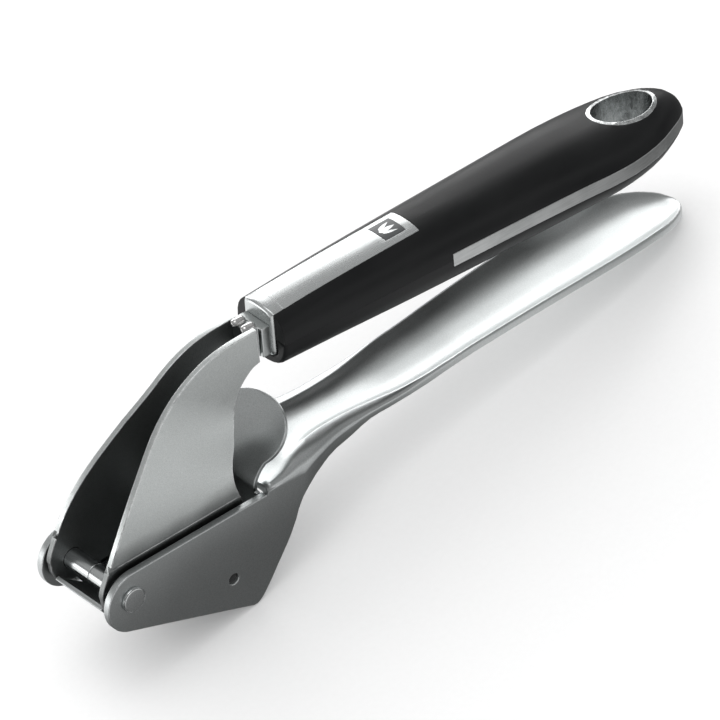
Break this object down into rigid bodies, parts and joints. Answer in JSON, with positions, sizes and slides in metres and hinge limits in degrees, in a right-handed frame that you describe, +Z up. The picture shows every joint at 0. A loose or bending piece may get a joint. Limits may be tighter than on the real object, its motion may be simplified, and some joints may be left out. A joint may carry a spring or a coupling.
{
  "type": "garlic press",
  "caption": "Hand garlic press: hinged steel arms, perforated removable insert, swinging pressing block and a black grip with hanging hole.",
  "frame": {"origin": "middle of the bounding box's base, where the closed press lies on the two lower corners of its side plates and the tip of its lower handle", "axes": "+X from the hinge towards the handles' tail, +Y along the hinge pin, +Z up"},
  "size_m": [0.2032, 0.029, 0.0686],
  "materials": {
    "satin_steel": "bead-blasted satin",
    "bright_steel": "fine polished",
    "black_grip": "fine matte",
    "badge": "dark etched"
  },
  "bodies": {
    "lower": {"lower_arm": "satin_steel", "insert": "satin_steel", "insert_pegs": "satin_steel", "hinge_pin": "bright_steel", "hinge_sleeve": "bright_steel", "thrust_washers": "bright_steel"},
    "upper": {"near_cheek": "satin_steel", "far_cheek": "satin_steel", "neck_block": "satin_steel", "neck_welds": "bright_steel", "end_cap": "bright_steel", "core_plate": "bright_steel", "top_spine": "bright_steel", "spine_studs": "satin_steel", "badge_plate": "badge", "upper_grip": "black_grip", "lower_grip": "black_grip", "grip_rivets": "satin_steel", "upper_eyelet": "bright_steel", "lower_eyelet": "bright_steel", "press_pin": "bright_steel", "press_collars": "bright_steel"},
    "press": {"press_block": "satin_steel"}
  },
  "joints": [
    {"name": "arm_hinge", "type": "hinge", "parent": "lower", "child": "upper", "pos_m": [-0.09383, 0, 0.03007], "axis": [0, -1, 0], "range_deg": [0, 95]},
    {"name": "press_swing", "type": "hinge", "parent": "upper", "child": "press", "pos_m": [-0.0671, 0, 0.02598], "axis": [0, -1, 0], "range_deg": [-57, 0]}
  ],
  "couplings": [
    {"joint": "press_swing", "follows": "arm_hinge", "ratio": -0.6}
  ]
}
